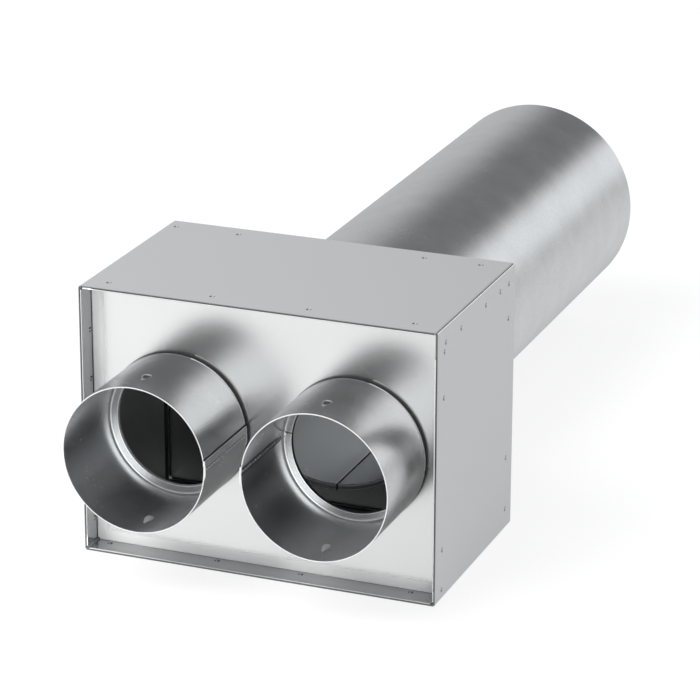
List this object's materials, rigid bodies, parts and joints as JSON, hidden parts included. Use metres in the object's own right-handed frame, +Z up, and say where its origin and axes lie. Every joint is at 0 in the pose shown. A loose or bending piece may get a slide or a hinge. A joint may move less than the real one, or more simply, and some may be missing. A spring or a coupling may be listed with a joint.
{
  "type": "wall duct sleeve",
  "caption": "Galvanised sheet-steel duct box with two round stepped sockets on its recessed front and one long round duct from its recessed back.",
  "frame": {"origin": "middle of the casing's flat underside", "axes": "+Y along the duct towards its free end, -Y is the socket side, +X to the right seen from the sockets, +Z up"},
  "size_m": [0.2, 0.503, 0.15],
  "materials": {
    "galvanised_sheet": "bright galvanised sheet, satin",
    "galvanised_tube": "bright galvanised rolled sheet, satin"
  },
  "bodies": {
    "root": {"casing": "galvanised_sheet", "front_panel": "galvanised_sheet", "rear_panel": "galvanised_sheet", "left_socket": "galvanised_tube", "right_socket": "galvanised_tube", "duct": "galvanised_tube"}
  },
  "joints": []
}
